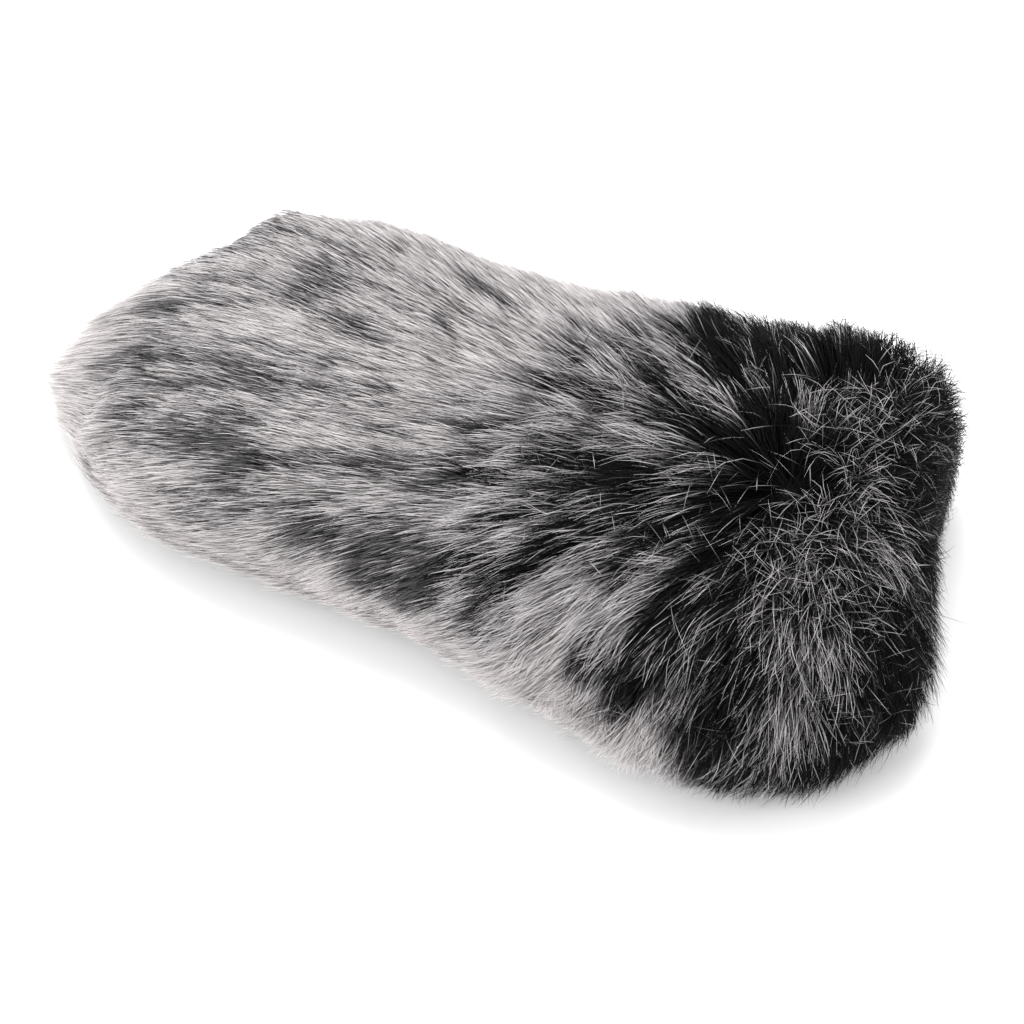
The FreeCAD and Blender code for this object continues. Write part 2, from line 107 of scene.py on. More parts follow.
# ---- camera and light -------------------------------------------------------------------------
def add_camera():
    """Long lens from the front right, high over the cover."""
    azimuth = math.radians(CAMERA_AZIMUTH)
    elevation = math.radians(CAMERA_ELEVATION)
    back = Vector((math.sin(azimuth) * math.cos(elevation),
                   -math.cos(azimuth) * math.cos(elevation), math.sin(elevation)))
    data = bpy.data.cameras.new("camera")
    data.sensor_width = SENSOR_WIDTH
    data.lens = SENSOR_WIDTH * CAMERA_DISTANCE / VIEW_WIDTH
    data.clip_start = 0.05
    data.clip_end = 30.0
    camera = bpy.data.objects.new("camera", data)
    camera.location = CAMERA_TARGET + back * CAMERA_DISTANCE
    camera.rotation_euler = back.to_track_quat("Z", "Y").to_euler()
    bpy.context.collection.objects.link(camera)
    bpy.context.scene.camera = camera


def add_area(name, position, aim, size, power):
    """Soft rectangular lamp that points at a place."""
    data = bpy.data.lights.new(name, "AREA")
    data.shape = "RECTANGLE"
    data.size, data.size_y = size
    data.energy = power
    lamp = bpy.data.objects.new(name, data)
    lamp.location = position
    lamp.rotation_euler = (Vector(position) - Vector(aim)).to_track_quat("Z", "Y").to_euler()
    bpy.context.collection.objects.link(lamp)


def add_light():
    """White surroundings, with soft lights from above, from the near left and from the right."""
    world = bpy.data.worlds.new("studio")
    bpy.context.scene.world = world
    world.use_nodes = True
    world.node_tree.nodes["Background"].inputs["Color"].default_value = (1.0, 1.0, 1.0, 1.0)
    world.node_tree.nodes["Background"].inputs["Strength"].default_value = 1.15
    aim = (0.0, 0.0, 0.03)
    add_area("key_overhead", (-0.3, 0.5, 1.6), aim, (1.2, 0.9), 25.0)
    add_area("fill_near", (-0.7, -1.2, 0.9), aim, (1.0, 0.9), 16.0)
    add_area("rim_right", (1.2, 0.5, 0.6), aim, (0.6, 0.6), 5.0)


# ---- node material helpers ---------------------------------------------------------------------
def new_material(name):
    """Material with nodes, its node tree and its shader node."""
    material = bpy.data.materials.new(name)
    material.use_nodes = True
    tree = material.node_tree
    return material, tree, tree.nodes["Principled BSDF"]


def ramp(tree, stops, source):
    """Colour from a list of stops."""
    node = tree.nodes.new("ShaderNodeValToRGB")
    elements = node.color_ramp.elements
    while len(elements) < len(stops):
        elements.new(0.5)
    for element, (place, colour) in zip(elements, stops):
        element.position = place
        element.color = (*colour, 1.0)
    tree.links.new(source, node.inputs["Fac"])
    return node.outputs["Color"]


def blend(tree, share, first, second):
    """Mix of two colours."""
    node = tree.nodes.new("ShaderNodeMix")
    node.data_type = "RGBA"
    tree.links.new(share, node.inputs["Factor"])
    tree.links.new(first, node.inputs["A"])
    tree.links.new(second, node.inputs["B"])
    return node.outputs["Result"]


def spread(tree, value, low, high):
    """0 below low, 1 above high, straight between."""
    node = tree.nodes.new("ShaderNodeMapRange")
    node.inputs["From Min"].default_value = low
    node.inputs["From Max"].default_value = high
    tree.links.new(value, node.inputs["Value"])
    return node.outputs["Result"]


def fur_material():
    """U is the strand's tone: 0 black, 0.5 black with a silver tip, 1 pale. V runs from root to tip."""
    material, tree, shader = new_material("fur_strands")
    uv = tree.nodes.new("ShaderNodeUVMap")
    uv.uv_map = "OFBake"
    split = tree.nodes.new("ShaderNodeSeparateXYZ")
    tree.links.new(uv.outputs["UV"], split.inputs["Vector"])
    tone = split.outputs["X"]
    along = split.outputs["Y"]
    dark = ramp(tree, DARK_STRAND, along)
    tipped = ramp(tree, TIPPED_STRAND, along)
    pale = ramp(tree, PALE_STRAND, along)
    lower = blend(tree, spread(tree, tone, 0.08, 0.5), dark, tipped)
    colour = blend(tree, spread(tree, tone, 0.5, 1.0), lower, pale)
    tree.links.new(colour, shader.inputs["Base Color"])
    shader.inputs["Roughness"].default_value = 0.5
    shader.inputs["Specular IOR Level"].default_value = 0.04
    return material


def undercoat_material():
    """Near-black, dull and finely mottled, for the underfur between the strands."""
    material, tree, shader = new_material("fur_undercoat")
    coordinates = tree.nodes.new("ShaderNodeTexCoord")
    noise = tree.nodes.new("ShaderNodeTexNoise")
    noise.inputs["Scale"].default_value = 900.0
    noise.inputs["Detail"].default_value = 4.0
    tree.links.new(coordinates.outputs["Object"], noise.inputs["Vector"])
    dark = (0.002, 0.002, 0.003)
    light = (0.009, 0.009, 0.010)
    colour = ramp(tree, [(0.35, dark), (0.7, light)], noise.outputs["Fac"])
    tree.links.new(colour, shader.inputs["Base Color"])
    shader.inputs["Roughness"].default_value = 0.95
    shader.inputs["Specular IOR Level"].default_value = 0.1
    return material


# ---- the backing's outer face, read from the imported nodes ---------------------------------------
class Skin:
    """Grid of points on the backing's outer face, with normals and the depth of the pile over them."""

    def __init__(self, points):
        self.points = points
        along = np.gradient(points, axis=0)
        padded = np.concatenate([points[:, -2:-1], points, points[:, 1:2]], axis=1)
        around = (padded[:, 2:] - padded[:, :-2]) / 2
        normals = np.cross(along, around)
        size = np.linalg.norm(normals, axis=2, keepdims=True)
        normals = normals / np.maximum(size, 1e-12)
        outwards = ((points - points.mean(axis=(0, 1))) * normals).sum() > 0
        self.normals = normals if outwards else -normals
        self.areas = size[:-1, :-1, 0]
        self.depths = self.pile_depths()

    def pile_depths(self):
        """Distance from each point along its normal to the pile's outer face."""
        pile = tree_of("upper_panel_pile", "lower_panel_pile", "front_cap_pile")
        depths = np.zeros(self.points.shape[:2])
        for i in range(depths.shape[0]):
            for j in range(depths.shape[1]):
                start = self.points[i, j]
                hit = outer_hit(pile, start, self.normals[i, j])
                depths[i, j] = 0.012 if hit is None else (hit - Vector(start)).length
        depths = np.clip(depths, 4 * MM, 40 * MM)
        for _ in range(3):
            wrapped = np.concatenate([depths[:, -2:-1], depths, depths[:, 1:2]], axis=1)
            depths = (wrapped[:, :-2] + 2 * depths + wrapped[:, 2:]) / 4
        flat = self.points.reshape(-1, 3)
        large = lattice(flat[:, 0] / 0.012, flat[:, 1] / 0.015 + 9)
        small = lattice(flat[:, 0] / 0.006, flat[:, 1] / 0.008)
        depths = depths * (1 + LUMPS * (large + 0.7 * small)).reshape(depths.shape)
        for x, y, rx, ry, share in DENTS:
            depths = depths * (1 - share * spot(flat, x, y, rx, ry)).reshape(depths.shape)
        return depths

    def outer_quads(self, start):
        """Vertices and faces of the pile's outer face, with its dents, numbered from start."""
        outer = self.points + self.normals * self.depths[:, :, None]
        return outer.reshape(-1, 3), sheet_faces(*self.points.shape[:2]) + start

    def underfur(self, share=1.0):
        """Points of the underfur's outer face."""
        rise = UNDERFUR * share * smooth(self.points[:, :, 0] / MM, -140, -100)
        return self.points + self.normals * (self.depths * rise)[:, :, None]

    def at(self, i, j):
        """Roots on the underfur, outward normals and the pile's depth over them."""
        i0 = np.minimum(i.astype(int), self.points.shape[0] - 2)
        j0 = np.minimum(j.astype(int), self.points.shape[1] - 2)
        under = self.underfur()
        left = self.depths - np.linalg.norm(under - self.points, axis=2)
        values = [self.mixed(grid, i, j, i0, j0) for grid in (under, self.normals, left[:, :, None])]
        return values[0], unit(values[1]), values[2][:, 0]

    def surface_at(self, i, j):
        """Points and normals of the backing's outer face at fractional grid places."""
        i0 = np.minimum(i.astype(int), self.points.shape[0] - 2)
        j0 = np.minimum(j.astype(int), self.points.shape[1] - 2)
        return self.mixed(self.points, i, j, i0, j0), unit(self.mixed(self.normals, i, j, i0, j0))

    def mixed(self, grid, i, j, i0, j0):
        """Straight mix of a grid's four values round each fractional place."""
        fi = (i - i0)[:, None]
        fj = (j - j0)[:, None]
        return (grid[i0, j0] * (1 - fi) * (1 - fj) + grid[i0 + 1, j0] * fi * (1 - fj)
                + grid[i0, j0 + 1] * (1 - fi) * fj + grid[i0 + 1, j0 + 1] * fi * fj)

    def scatter(self, count, rng, keep_columns=None):
        """Random fractional places: fewer on the tousled front, and hardly any in the parting."""
        middles = ((self.points[:-1, :-1] + self.points[1:, 1:]) / 2).reshape(-1, 3)
        density = (1.25 - 0.45 * front_share(middles)) * (1 - 0.8 * spot(middles, 112, -16, 16, 17))
        weights = self.areas * density.reshape(self.areas.shape)
        if keep_columns is not None:
            weights[:, ~keep_columns[:-1]] = 0
        flat = (weights / weights.sum()).ravel()
        cells = rng.choice(flat.size, size=count, p=flat)
        rows, columns = np.unravel_index(cells, weights.shape)
        return rows + rng.random(count), columns + rng.random(count)


def tree_of(*nodes):
    """One ray tree over CAD nodes; their objects sit at the origin."""
    points = []
    faces = []
    for node in nodes:
        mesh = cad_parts[node].data
        start = len(points)
        points += [v.co.copy() for v in mesh.vertices]
        faces += [[start + k for k in p.vertices] for p in mesh.polygons]
    return BVHTree.FromPolygons(points, faces)


def outer_hit(tree, centre, direction):
    """Where a ray from outside towards centre first meets the surface."""
    direction = Vector(direction).normalized()
    hit = tree.ray_cast(Vector(centre) + direction * 1.0, -direction)[0]
    return hit


def bulged(value, power):
    """Power of a number that keeps its sign."""
    return math.copysign(abs(value) ** power, value)


def tube_skin(rows=160, columns=120):
    """Outer face of the two panels' backing, in rings from the mouth to the cap seam."""
    tree = tree_of("upper_panel_backing", "lower_panel_backing")
    low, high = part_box("upper_panel_backing")
    points = np.zeros((rows, columns + 1, 3))
    for i in range(rows):
        x = low[0] + (high[0] - low[0]) * (0.002 + 0.996 * i / (rows - 1))
        top = outer_hit(tree, (x, 0, 0.03), (0, 0, 1))
        bottom = outer_hit(tree, (x, 0, 0.03), (0, 0, -1))
        middle = (top.z + bottom.z) / 2
        side = outer_hit(tree, (x, 0, middle), (0, 1, 0)).y
        for j in range(columns + 1):
            angle = 2 * math.pi * j / columns
            c = bulged(math.cos(angle), SQUARENESS)
            s = bulged(math.sin(angle), SQUARENESS)
            reach = (0, side * c, (top.z - middle) * s)
            points[i, j] = outer_hit(tree, (x, 0, middle), reach)
    return Skin(points)


def cap_skin(rows=60, columns=120):
    """Outer face of the cap's backing, in rings from the cap seam to the nose."""
    tree = tree_of("front_cap_backing")
    low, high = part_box("front_cap_backing")
    width = (high[1] - low[1]) / 2
    height = (high[2] - low[2]) / 2
    middle = (high[2] + low[2]) / 2
    depth = high[0] - low[0]
    points = np.zeros((rows, columns + 1, 3))
    for i in range(rows):
        polar = math.radians(88.5) * (1 - i / (rows - 1)) + math.radians(2.0) * i / (rows - 1)
        for j in range(columns + 1):
            angle = 2 * math.pi * j / columns
            c = bulged(math.cos(angle), SQUARENESS)
            s = bulged(math.sin(angle), SQUARENESS)
            reach = (depth * math.cos(polar), width * math.sin(polar) * c, height * math.sin(polar) * s)
            points[i, j] = outer_hit(tree, (low[0] + 0.0004, 0, middle), reach)
    return Skin(points)


# ---- strands --------------------------------------------------------------------------------------
def unit(v):
    """Vectors of length 1."""
    return v / np.maximum(np.linalg.norm(v, axis=-1, keepdims=True), 1e-9)


def flat_to(v, normals):
    """v with its part along the normals taken out."""
    return v - normals * (v * normals).sum(axis=1, keepdims=True)


def smooth(value, low, high):
    """0 below low, 1 above high, with soft ends."""
    t = np.clip((value - low) / (high - low), 0, 1)
    return t * t * (3 - 2 * t)


LATTICE = np.random.default_rng(SEED + 1).uniform(-1, 1, (64, 64))


def lattice(a, b):
    """Smooth random field from -1 to 1 with cells of size 1."""
    i = np.floor(a).astype(int)
    j = np.floor(b).astype(int)
    fa = a - i
    fb = b - j
    fa = fa * fa * (3 - 2 * fa)
    fb = fb * fb * (3 - 2 * fb)
    i0, i1, j0, j1 = i % 64, (i + 1) % 64, j % 64, (j + 1) % 64
    return ((LATTICE[i0, j0] * (1 - fa) + LATTICE[i1, j0] * fa) * (1 - fb)
            + (LATTICE[i0, j1] * (1 - fa) + LATTICE[i1, j1] * fa) * fb)


def streaks(points, across, along):
    """Field that runs in streaks away from the crown, as the nap lies."""
    away = points - CROWN
    reach = np.hypot(away[:, 0], away[:, 1])
    turn = np.arctan2(away[:, 1], -away[:, 0]) * 0.13
    side = (points[:, 2] < 0.028) * 17.3
    return lattice(turn / across + side, reach / along + side)


def spot(points, x, y, rx, ry):
    """1 at a place in plan, falling to 0 over the radii, given in millimetres."""
    dx = (points[:, 0] / MM - x) / rx
    dy = (points[:, 1] / MM - y) / ry
    return np.exp(-(dx * dx + dy * dy))


def front_share(points):
    """0 over the combed rear of the cover, 1 over the tousled front."""
    side = points[:, 1] / MM + 12
    edge = points[:, 0] / MM - np.minimum(0.0050 * side * side, 28)
    edge = edge + 9 * streaks(points, 0.012, 0.05) + 5 * streaks(points, 0.004, 0.03)
    return smooth(edge, -2, 56)


def cap_share(points):
    """0 over the tube, 1 over the front cap."""
    return smooth(points[:, 0] / MM, 116, 138)


# places where the coat is pressed flat (share above 0) or stands up (share below 0), in plan on the
# backing: x, y, radius along x, radius along y (mm), share of the pile's depth
DENTS = [
    (155, 20, 13, 22, 0.60), (159, -6, 9, 13, 0.45), (131, 60, 11, 10, -0.55),
    (112, 52, 16, 14, -0.35), (78, 66, 22, 13, 0.30), (40, 67, 40, 14, -0.20),
    (50, -68, 50, 20, -0.12), (-130, 32, 14, 18, 0.42), (-110, 57, 14, 12, -0.40),
    (-132, -32, 7, 10, 0.55), (-118, -50, 12, 14, -0.45), (157, -47, 10, 11, 0.30),
]

# patches of the coat, in plan: x, y, radius along x, radius along y (mm), strength. The pale ones along
# the far top edge are partly the coat's own pale fur and partly painted light where the light falls.
DARK_PATCHES = [
    (-111, -46, 20, 10, 0.26), (-58, -54, 22, 9, 0.22), (-112, 4, 13, 11, 0.24),
    (10, -64, 34, 12, 0.36), (-100, -24, 26, 14, 0.36), (108, 58, 28, 26, 0.34),
    (118, -72, 22, 14, 0.45), (158, -20, 9, 12, 0.5), (118, -40, 9, 16, 0.40),
    (60, 18, 20, 9, 0.25), (92, -42, 9, 7, 0.35), (112, 0, 14, 12, 0.4),
    (84, -8, 17, 15, 0.48), (142, 26, 22, 26, 0.40), (94, 42, 18, 14, 0.28),
    (113, 30, 16, 14, 0.45),
]
PALE_PATCHES_AND_PAINTED_LIGHT = [
    (12, 62, 42, 16, 0.48), (-66, 58, 52, 18, 0.48), (50, 56, 22, 14, 0.50),
    (141, -52, 10, 18, 0.75), (132, -36, 8, 12, 0.30), (44, 24, 24, 12, 0.25),
    (-40, -38, 22, 12, 0.32), (24, 48, 26, 14, 0.35), (80, -54, 12, 8, 0.35),
    (62, -76, 16, 10, 0.20),
]


def pale_fringe_and_bounce_light(points):
    """1 along the lowest rim, near the surface the cover lies on, and at the rear tip; on the rim this
    stands for pale strands and for painted light bounced up from the white surface.
    """
    height = points[:, 2] / MM + 6 * streaks(points, 0.01, 0.04)
    near = smooth(-points[:, 1] / MM, 10, 50)
    raised = 10 * near * (1 + 1.3 * smooth(points[:, 0] / MM, 45, 80))
    # the lowest rim: its own pale strands plus painted light bounced up from the surface below
    rim = 1 - smooth(height, 22 + raised, 36 + 1.3 * raised)
    rim = rim * (1 - smooth(points[:, 0] / MM, 108, 138))
    return np.maximum(rim, smooth(-points[:, 0] / MM, 112, 134))


def paleness(points):
    """Share of silver or pale strands at each root, 0 to 1."""
    front = front_share(points)
    cap = cap_share(points)
    mottle = 0.26 * streaks(points, 0.007, 0.026) + 0.14 * streaks(points, 0.016, 0.060)
    mottle = mottle + 0.28 * streaks(points, 0.0032, 0.026)
    value = 0.54 - 0.22 * front - 0.42 * cap + mottle * (1 + 1.2 * front)
    for x, y, rx, ry, strength in DARK_PATCHES:
        value = value - strength * spot(points, x, y, rx, ry) * (points[:, 2] > 0.02)
    # pale patches: the coat's own pale fur, and along the far top edge painted light where the light
    # falls
    for x, y, rx, ry, strength in PALE_PATCHES_AND_PAINTED_LIGHT:
        value = value + strength * spot(points, x, y, rx, ry) * (points[:, 2] > 0.02)
    # painted bounce light: strands along the lowest rim are made paler, partly for their own pale tips
    # and partly for light bounced up from the white surface
    value = value + (0.95 - value) * pale_fringe_and_bounce_light(points)
    return np.clip(value, 0.0, 1.0)


def strand_paths(roots, normals, depth, guard, wild, rng):
    """Points of each strand, from root to tip, as an array (strand, point, 3)."""
    count = len(roots)
    front = front_share(roots)
    cap = cap_share(roots)
    away = roots - CROWN
    across = roots[:, 1] / MM
    away[:, 0] -= 0.030 * smooth(across, 5, 50) + 0.016 * smooth(-across, 5, 40)
    nap = unit(flat_to(away, normals))
    side = np.cross(normals, nap)
    swirl = 0.16 * streaks(roots, 0.02, 0.05) + 0.14 * front * streaks(roots, 0.009, 0.03)
    swirl = swirl + rng.normal(0, 1, count) * (0.06 + 0.08 * front + 0.22 * cap)
    swirl = np.where(wild, rng.uniform(-2.8, 2.8, count), swirl)
    nap = unit(nap * np.cos(swirl)[:, None] + side * np.sin(swirl)[:, None])
    rear_end = smooth(-roots[:, 0] / MM, 100, 134)
    length = 0.0225 + 0.0155 * front - 0.004 * cap + 0.018 * rear_end
    length = length * np.where(guard, 1.0, 0.72) * rng.uniform(0.82, 1.12, count)
    length = length * (1 + 0.12 * streaks(roots, 0.01, 0.03))
    above_floor = (roots[:, 2] + 4 * MM) / np.maximum(-nap[:, 2], 0.2) * rng.uniform(0.75, 1.15, count)
    length = np.maximum(np.minimum(length, above_floor), 0.010)
    length = np.where(wild, length * rng.uniform(0.45, 0.85, count), length)
    reach = depth * np.where(guard, rng.uniform(0.45, 0.95, count), rng.uniform(0.30, 0.65, count))
    reach = reach * (1 + 0.25 * tuft_share(roots))
    lift = np.arcsin(np.clip(reach / length, 0.05, 0.95))
    lift = np.where(wild, lift * rng.uniform(0.2, 1.1, count), lift)
    curl = rng.normal(0, 1, (count, 2)) * (0.05 + 0.09 * front + 0.15 * cap + 0.25 * wild)[:, None]
    droop = (0.10 + 0.25 * front) * smooth(normals[:, 2], -0.6, 0.1)
    paths = np.zeros((count, POINTS, 3))
    paths[:, 0] = roots + normals * (wild * depth * rng.uniform(0.2, 0.75, count))[:, None]
    step = length / (POINTS - 1)
    for k in range(1, POINTS):
        part = (k - 0.5) / (POINTS - 1)
        rise = lift * (1.9 - 1.8 * part)
        way = nap * np.cos(rise)[:, None] + normals * np.sin(rise)[:, None]
        way = way + side * (curl[:, 0] * part * 2)[:, None] + normals * (curl[:, 1] * part)[:, None]
        way[:, 2] -= droop * part * part
        gather = smooth(-paths[:, k - 1, 0] / MM, 126, 160) * 1.15
        way = way + unit(GATHER_POINT - paths[:, k - 1]) * gather[:, None]
        paths[:, k] = paths[:, k - 1] + unit(way) * step[:, None]
    return paths


def nearest_guides(roots, guide_roots):
    """Number of the guide strand nearest to each root."""
    tree = KDTree(len(guide_roots))
    for i, p in enumerate(guide_roots):
        tree.insert(p, i)
    tree.balance()
    return np.array([tree.find(p)[1] for p in roots])


def clump(paths, guide_paths, nearest, guard, wild, rng):
    """Pulls strands towards their guide strand, more so at the tips, which makes locks."""
    roots = paths[:, 0]
    front = front_share(roots)
    cap = cap_share(roots)
    strength = 0.16 + 0.42 * front - 0.20 * cap + rng.normal(0, 0.15, len(roots))
    strength = np.clip(strength, 0.0, 0.85) * np.where(guard, 1.0, 0.6) * ~wild
    start = roots - guide_paths[nearest, 0]
    reach = np.linalg.norm(np.diff(paths, axis=1), axis=2).sum(axis=1)
    guide_reach = np.linalg.norm(np.diff(guide_paths, axis=1), axis=2).sum(axis=1)[nearest]
    share = np.clip(reach / guide_reach, 0, 1)
    for k in range(1, POINTS):
        place = k * share
        low = np.minimum(place.astype(int), POINTS - 2)
        part = (place - low)[:, None]
        goal = guide_paths[nearest, low] * (1 - part) + guide_paths[nearest, low + 1] * part
        goal = goal + start * 0.25
        paths[:, k] += (goal - paths[:, k]) * (strength * (k / (POINTS - 1)) ** 1.2)[:, None]
    return paths


def outer_face(*skins):
    """One tree over the outer face of the pile on all skins."""
    points = np.zeros((0, 3))
    faces = np.zeros((0, 4), int)
    for skin in skins:
        more_points, more_faces = skin.outer_quads(len(points))
        points = np.concatenate([points, more_points])
        faces = np.concatenate([faces, more_faces])
    return BVHTree.FromPolygons(points.tolist(), faces.tolist())


def tuft_share(points):
    """1 in the tufts that stand out of the coat."""
    return smooth(streaks(points, 0.006, 0.012), -0.15, 0.6)


def overhang(points, normals, face, allowed):
    """Shift that brings points which stick out of the pile's outer face back to nearly on it."""
    shift = np.zeros_like(points)
    for n, point in enumerate(points.tolist()):
        near, outwards, _, _ = face.find_nearest(point)
        if outwards.dot(Vector(normals[n])) < 0:
            outwards = -outwards
        out = (Vector(point) - near).dot(outwards)
        if out > 0:
            shift[n] = outwards * (allowed[n] * math.tanh(out / allowed[n]) - out)
    return shift


def press_in(paths, normals, face, wild, rng):
    """Lays strands that stand out over the pile's outer face down along it, all but wisps."""
    roots = paths[:, 0]
    tufts = tuft_share(roots)
    allowed = 1.0 + rng.uniform(0, 3.5, len(paths)) + 9.0 * tufts * rng.uniform(0.3, 1.1, len(paths))
    allowed = allowed * (1 - 0.75 * spot(roots, 158, 34, 18, 26)) + 2.0 * wild
    allowed = (allowed + 3.0 * smooth(-roots[:, 0] / MM, 122, 140)) * MM
    middle = POINTS // 2
    half_way = overhang(paths[:, middle], normals, face, allowed * 0.6)
    tip = overhang(paths[:, -1], normals, face, allowed)
    for k in range(1, POINTS):
        if k <= middle:
            paths[:, k] += half_way * (k / middle) ** 2
        else:
            share = (k - middle) / (POINTS - 1 - middle)
            paths[:, k] += half_way * (1 - share) + tip * share
    return paths


def keep_in_space(paths, rng):
    """Presses strands that would pass the floor flat onto it, and bends the highest tips over."""
    floor = FLOOR_GAP + rng.uniform(0, 2.2 * MM, len(paths))[:, None]
    z = np.maximum(paths[:, :, 2], floor)
    over = z - (cad_box[1][2] + HEADROOM)
    paths[:, :, 2] = np.where(over > 0, z - over + HEADROOM * np.tanh(over / HEADROOM), z)
    return paths


def ribbons(paths, normals, tones, width, rng):
    """Flat tapered ribbons along the paths: vertices, faces and UVs."""
    count = len(paths)
    along = np.gradient(paths, axis=1)
    facing = normals[:, None, :] * np.ones((1, POINTS, 1))
    roll = rng.normal(0, 0.75, count)[:, None, None]
    across = unit(np.cross(along, facing))
    upright = unit(np.cross(across, along))
    across = across * np.cos(roll) + upright * np.sin(roll)
    part = np.linspace(0, 1, POINTS)
    taper = 1.0 - 0.88 * np.maximum(2 * part - 1, 0) ** 1.4
    half = (width[:, None] / 2 * taper[None, :])[:, :, None]
    left = paths - across * half
    right = paths + across * half
    vertices = np.stack([left, right], axis=2).reshape(count, POINTS * 2, 3)
    base = (np.arange(count) * POINTS * 2)[:, None, None]
    quads = np.array([[2 * k, 2 * k + 1, 2 * k + 3, 2 * k + 2] for k in range(POINTS - 1)])
    faces = (base + quads[None]).reshape(-1, 4)
    half_u = 1.5 / 512
    u = np.clip(tones, 0.01, 0.99)
    corners = np.zeros((count, POINTS - 1, 4, 2))
    for k in range(POINTS - 1):
        low = k / (POINTS - 1)
        high = (k + 1) / (POINTS - 1)
        corners[:, k, :, 0] = np.stack([u - half_u, u + half_u, u + half_u, u - half_u], axis=1)
        corners[:, k, :, 1] = np.array([low, low, high, high])
    return vertices.reshape(-1, 3), faces, corners.reshape(-1, 2)


def mesh_object(name, vertices, faces, material, uvs=None):
    """Object from arrays of vertices and quads."""
    mesh = bpy.data.meshes.new(name)
    corners = faces.shape[1]
    mesh.vertices.add(len(vertices))
    mesh.vertices.foreach_set("co", np.ascontiguousarray(vertices, dtype=np.float32).ravel())
    mesh.loops.add(faces.size)
    mesh.loops.foreach_set("vertex_index", faces.astype(np.int32).ravel())
    mesh.polygons.add(len(faces))
    mesh.polygons.foreach_set("loop_start", np.arange(0, faces.size, corners, dtype=np.int32))
    mesh.update(calc_edges=True)
    if uvs is not None:
        layer = mesh.uv_layers.new(name="OFBake")
        layer.data.foreach_set("uv", uvs.astype(np.float32).ravel())
    mesh.polygons.foreach_set("use_smooth", np.ones(len(faces), dtype=bool))
    mesh.materials.append(material)
    piece = bpy.data.objects.new(name, mesh)
    bpy.context.collection.objects.link(piece)
    return piece


def fur_tones(roots, guard, wild, guide_luck, rng):
    """Tone of each strand: 0 black, 0.5 black with a silver tip, 1 pale."""
    pale = paleness(roots)
    front = front_share(roots)
    rim = pale_fringe_and_bounce_light(roots)
    luck = guide_luck * (0.35 + 0.45 * front) + rng.uniform(-1, 1, len(roots)) * (0.65 - 0.35 * front)
    luck = 0.5 + 0.5 * luck
    silver = smooth(pale - luck, -0.12, 0.12)
    # painted bounce light as well as pale strands: on the lowest rim the tones are raised and the
    # front's darkening is held back
    high = 0.86 - 0.32 * front * (1 - rim) + 0.12 * rim
    low = 0.15 - 0.13 * front * (1 - rim)
    tone = low + (high - low) * silver
    tone = np.where(guard, tone, tone * (0.75 - 0.45 * front * (1 - rim)))
    tone = np.where(wild, 0.50, tone)
    return np.clip(tone + rng.normal(0, 0.04, len(roots)), 0.01, 0.99)


def wild_share(points):
    """Share of strands that lie across the nap, over the tousled front cap."""
    zone = smooth(points[:, 0] / MM, 112, 130) * smooth(points[:, 1] / MM, -75, -45)
    field = lattice(points[:, 0] / 0.011 + 7, points[:, 1] / 0.011 + points[:, 2] / 0.02)
    cluster = smooth(field, -0.35, 0.5)
    on_top = smooth(points[:, 2] / MM, 24, 44)
    return 0.14 * zone * cluster * on_top + 0.006 * front_share(points)


def grow(name, node, skin, count, rng, material, face, keep_columns=None):
    """Fur over one skin, in pieces that all stand for one pile node."""
    i, j = skin.scatter(count, rng, keep_columns)
    roots, normals, depth = skin.at(i, j)
    guard = rng.random(count) < GUARD_SHARE
    wild = rng.random(count) < wild_share(roots)
    gi, gj = skin.scatter(max(200, count // STRANDS_PER_LOCK), rng, keep_columns)
    guide_roots, guide_normals, guide_depth = skin.at(gi, gj)
    all_guides = np.ones(len(guide_roots), bool)
    guides = strand_paths(guide_roots, guide_normals, guide_depth, all_guides, ~all_guides, rng)
    nearest = nearest_guides(roots, guide_roots)
    paths = strand_paths(roots, normals, depth, guard, wild, rng)
    paths = clump(paths, guides, nearest, guard, wild, rng)
    paths = press_in(paths, normals, face, wild, rng)
    paths = keep_in_space(paths, rng)
    luck = rng.uniform(-1, 1, len(guide_roots))[nearest]
    tones = fur_tones(roots, guard, wild, luck, rng)
    thin = (1 - 0.20 * front_share(roots)) * np.where(wild, 0.75, 1.0)
    width = STRAND_WIDTH * rng.uniform(0.6, 1.2, count) * thin
    order = np.argsort(roots[:, 0])
    blocks = np.array_split(order, math.ceil(count / STRANDS_PER_PIECE))
    for number, block in enumerate(blocks):
        vertices, faces, uvs = ribbons(paths[block], normals[block], tones[block], width[block], rng)
        piece = mesh_object("%s_%d" % (name, number + 1), vertices, faces, material, uvs)
        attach(piece, "cover")
        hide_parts(node)


def sheet_faces(rows, columns, keep_columns=None):
    """Quads over a grid of points, or over some of its columns."""
    i, j = np.meshgrid(np.arange(rows - 1), np.arange(columns - 1), indexing="ij")
    if keep_columns is not None:
        i = i[:, keep_columns[:-1]]
        j = j[:, keep_columns[:-1]]
    first = (i * columns + j).ravel()
    return np.stack([first, first + columns, first + columns + 1, first + 1], axis=1)


def undercoat(name, node, skin, material, keep_columns=None):
    """Dense short underfur: a rough sheet just below the strands' roots."""
    points = skin.underfur(share=0.93)
    flat = points.reshape(-1, 3)
    bump = lattice(flat[:, 0] / 0.003, flat[:, 1] / 0.003 + flat[:, 2] / 0.004) * 0.7 * MM
    flat = flat + skin.normals.reshape(-1, 3) * bump[:, None]
    flat[:, 2] = np.maximum(flat[:, 2], 0.8 * MM)
    rows, columns = points.shape[:2]
    piece = mesh_object(name, flat, sheet_faces(rows, columns, keep_columns), material)
    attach(piece, "cover")
    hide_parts(node)


